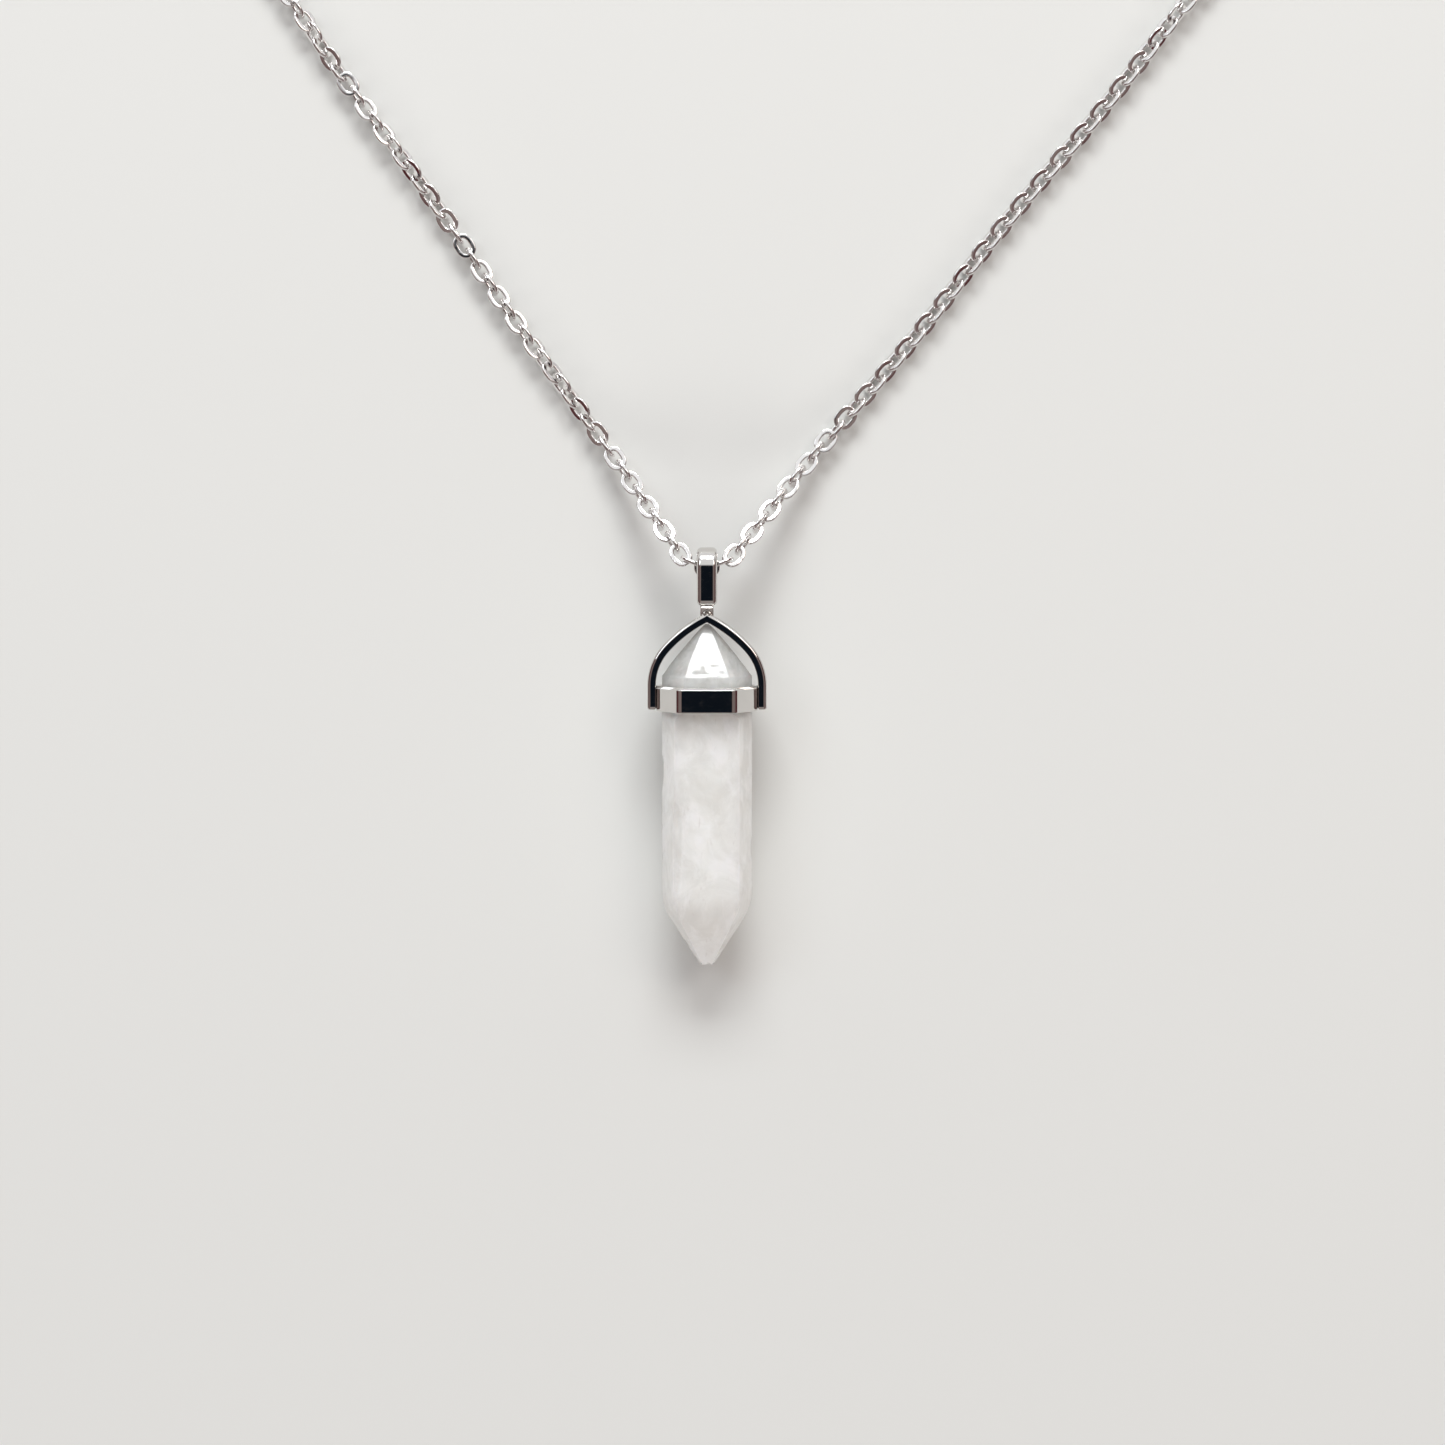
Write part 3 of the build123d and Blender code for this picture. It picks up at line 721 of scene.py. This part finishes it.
crystal = make_piece("crystal", points, faces, pendant)
dress(crystal, "pendant", "quartz", quartz, "crystal_point")

# ---------------------------------------------------------------- chain


def solids_of(node):
    """The vertices of each separate solid in a CAD node, whatever seams its shading cut."""
    mesh = frame["nodes"][node].data
    places = np.empty(len(mesh.vertices) * 3)
    mesh.vertices.foreach_get("co", places)
    places = places.reshape(-1, 3)
    edges = np.empty(len(mesh.edges) * 2, dtype=np.int64)
    mesh.edges.foreach_get("vertices", edges)
    _, same = np.unique(np.round(places / (SEAM_GRID * MM)), axis=0, return_inverse=True)
    first, second = same.reshape(-1)[edges.reshape(-1, 2)].T
    label = np.arange(same.max() + 1)
    while True:
        lowest = np.minimum(label[first], label[second])
        lower = label.copy()
        np.minimum.at(lower, first, lowest)
        np.minimum.at(lower, second, lowest)
        lower = lower[lower]
        if (lower == label).all():
            break
        label = lower
    groups = label[same.reshape(-1)]
    return [places[groups == group] for group in np.unique(groups)]


def frame_of(places):
    """A link's own frame: x along it, y across it, z through its opening."""
    mean = places.mean(axis=0)
    _, axes = np.linalg.eigh(np.cov((places - mean).T))
    along, across = Vector(axes[:, 2]), Vector(axes[:, 1])
    through = along.cross(across)
    matrix = Matrix((along, across, through)).transposed()
    inside = (places - mean) @ np.array(matrix)
    middle = Vector(mean) + matrix @ Vector((inside.max(axis=0) + inside.min(axis=0)) / 2)
    return Matrix.Translation(middle) @ matrix.to_4x4()


def link_rings():
    """Sections of one link's wire, flattened above and below, in order around its oval."""
    half_length = (LINK_LENGTH - WIRE) / 2
    half_width = (LINK_WIDTH - WIRE) / 2
    rings = []
    for step in range(LINK_STEPS):
        turn = 2 * pi * step / LINK_STEPS
        parts = (cos(turn), sin(turn))
        place = [copysign(abs(part) ** (2 / LINK_SQUARENESS), part) for part in parts]
        slope = [copysign(abs(part) ** (2 - 2 / LINK_SQUARENESS), part) for part in parts]
        centre = Vector((half_length * place[0], half_width * place[1], 0))
        outward = Vector((half_width * slope[0], half_length * slope[1], 0)).normalized()
        groove = SEAM_DEPTH if step == LINK_STEPS // 4 else 0.0
        ring = []
        for side in (1, -1):
            for angle in range(-WIRE_ARC, WIRE_ARC + 1, WIRE_ARC_STEP):
                across = (WIRE / 2 - groove) * cos(radians(angle)) * side
                level = (WIRE / 2 - groove) * sin(radians(angle)) * side
                ring.append(centre + outward * across + Vector((0, 0, level)))
            for across, crown in FLAT_CROWN:
                level = (WIRE_FLAT / 2 - groove + crown) * side
                ring.append(centre + outward * across * side + Vector((0, 0, level)))
        rings.append(ring)
    return rings


link_points, link_faces = shell(link_rings(), closed=True)
lean = random.Random(11)
body_of_node = {
    node: body for body, nodes in frame["record"]["behaviour"]["bodies"].items() for node in nodes
}
chain_nodes = [name for name in frame["nodes"] if name.startswith("chain_")]
for name in sorted(chain_nodes):
    points = []
    faces = []
    for places in solids_of(name):
        link_frame = frame_of(places)
        along = link_frame.to_3x3().col[0]
        roll = copysign(LINK_LEAN, Vector((along.y, -along.x)).dot(ROLL_TOWARDS))
        uneven = lean.gauss(0, LINK_UNEVEN)
        if (link_frame.translation - bail_centre).length < BAIL_CLEARANCE * MM:
            roll = uneven = 0.0
        flip = Matrix.Rotation(pi * lean.randrange(2), 4, "X")
        rolled = Matrix.Rotation(radians(roll + uneven), 4, "X")
        # a link that would reach below the table when rolled lies unrolled
        for place in (link_frame @ rolled @ flip, link_frame @ flip):
            placed = [place @ (point * MM) for point in link_points]
            if min(point.z for point in placed) > cad_box[0].z:
                break
        start = len(points)
        points += placed
        faces += [tuple(start + corner for corner in face) for face in link_faces]
    mesh = bpy.data.meshes.new(name.replace("chain_", "links_"))
    mesh.from_pydata(points, [], faces)
    for polygon in mesh.polygons:
        polygon.use_smooth = True
    links = bpy.data.objects.new(mesh.name, mesh)
    bpy.context.scene.collection.objects.link(links)
    dress(links, body_of_node[name], "chain_metal", chain_metal, name)

# ---------------------------------------------------------------- clasp and rings


def rounded_copy(node, edge):
    """A copy of a CAD node with its sharp edges rounded, as casting and polishing leave them."""
    mesh = frame["nodes"][node].data.copy()
    mesh.name = node + "_cast"
    mesh.transform(Matrix.Scale(1 / MM, 4))
    work = bmesh.new()
    work.from_mesh(mesh)
    bmesh.ops.remove_doubles(work, verts=work.verts, dist=WELD)
    bmesh.ops.dissolve_limit(
        work, angle_limit=radians(FLAT_ANGLE), verts=work.verts, edges=work.edges, delimit={"NORMAL"}
    )
    work.to_mesh(mesh)
    work.free()
    piece = bpy.data.objects.new(mesh.name, mesh)
    bpy.context.scene.collection.objects.link(piece)
    return finish_piece(piece, Matrix.Scale(MM, 4), edge, CAST_ANGLE)


for name, edge in (("clasp_body", BODY_EDGE), ("clasp_lever", LEVER_EDGE)):
    cast = rounded_copy(name, edge)
    dress(cast, body_of_node[name], "clasp_metal", clasp_metal, name)

for name, material in (
    ("clasp_jump_ring", clasp_metal),
    ("clasp_pivot_pin", clasp_metal),
    ("closing_ring", clasp_metal),
    ("clasp_spring", spring_metal),
    ("cap_cement", cement),
):
    node = frame["nodes"][name]
    node.data.materials.clear()
    node.data.materials.append(material)

# ---------------------------------------------------------------- table, light and camera

floor_height = cad_box[0].z - FLOOR_GAP * MM
floor_mesh = bpy.data.meshes.new("floor")
floor_mesh.from_pydata(
    [
        (-FLOOR_SIZE, -FLOOR_SIZE, floor_height),
        (FLOOR_SIZE, -FLOOR_SIZE, floor_height),
        (FLOOR_SIZE, FLOOR_SIZE, floor_height),
        (-FLOOR_SIZE, FLOOR_SIZE, floor_height),
    ],
    [],
    [(0, 1, 2, 3)],
)
floor = bpy.data.objects.new("floor", floor_mesh)
bpy.context.scene.collection.objects.link(floor)
floor_material, _ = new_material(
    "floor", Base_Color=(0.735, 0.74, 0.722, 1), Roughness=0.75, Specular_IOR_Level=0.2
)
floor_mesh.materials.append(floor_material)
floor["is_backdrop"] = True

# The room: the camera's dark underside straight overhead, a bright side ahead, a duller one
# behind, and brown shade to the left and right. "Facing" is 1 ahead, -1 behind, at any height.
world = bpy.data.worlds.new("room")
bpy.context.scene.world = world
world.use_nodes = True
background = world.node_tree.nodes["Background"]
direction = add_node(
    world,
    "ShaderNodeSeparateXYZ",
    {"Vector": add_node(world, "ShaderNodeTexCoord").outputs["Generated"]},
)
north, height = direction.outputs["Y"], direction.outputs["Z"]
ahead = remap(world, north, -0.35, 0.35, 0, 1)
room = mix_colour(world, ahead, (0.36, 0.325, 0.315), (0.95, 0.96, 0.97))
off_level = combine(world, "POWER", height, 2.0)
level_part = combine(world, "SQRT", combine(world, "SUBTRACT", 1.0, off_level), 0.0)
facing = combine(world, "DIVIDE", north, level_part)
shade = mix_colour(
    world, remap(world, height, 0.3, 0.75, 0, 1), (0.088, 0.026, 0.03), (0.24, 0.19, 0.18)
)
in_shade = combine(
    world,
    "MULTIPLY",
    remap(world, facing, 0.74, 0.5, 0, 1),
    remap(world, facing, -0.9, -0.72, 0, 1),
)
room = mix_colour(world, in_shade, room, shade)
room = mix_colour(world, remap(world, height, 0.955, 0.985, 0, 1), room, (0.006, 0.009, 0.014))
world.node_tree.links.new(room, background.inputs["Color"])
background.inputs["Strength"].default_value = 1.0

look_at = Vector((bail_centre.x, bail_centre.y, 0)) + Vector((*VIEW_OFFSET, 0)) * MM


def soft_light(name, azimuth, elevation, distance, width, height, power, colour):
    """A rectangular light, its azimuth clockwise from +Y, aimed at the middle of the picture."""
    data = bpy.data.lights.new(name, "AREA")
    data.shape = "RECTANGLE"
    data.size = width
    data.size_y = height
    data.energy = power
    data.color = colour
    light = bpy.data.objects.new(name, data)
    bpy.context.scene.collection.objects.link(light)
    turn, rise = radians(azimuth), radians(elevation)
    away = Vector((sin(turn) * cos(rise), cos(turn) * cos(rise), sin(rise)))
    light.location = look_at + away * distance
    light.rotation_mode = "QUATERNION"
    light.rotation_quaternion = (-away).to_track_quat("-Z", "Y")
    return light


lights = {light[0]: soft_light(*light) for light in LIGHTS}
lights["fill"].visible_glossy = False    # it lifts the shadows and doesn't show in the polish

camera_data = bpy.data.cameras.new("camera")
camera_data.sensor_width = SENSOR
camera_data.lens = SENSOR * (CAMERA_HEIGHT - bail_centre.z / MM) / VIEW_WIDTH
camera = bpy.data.objects.new("camera", camera_data)
bpy.context.scene.collection.objects.link(camera)
camera.location = look_at + Vector((0, 0, CAMERA_HEIGHT * MM))
bpy.context.scene.camera = camera
bpy.context.scene.view_settings.view_transform = "Standard"

visual_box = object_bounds()
sizes = {
    "cad": [list(corner) for corner in cad_box],
    "visual": [list(corner) for corner in visual_box],
}
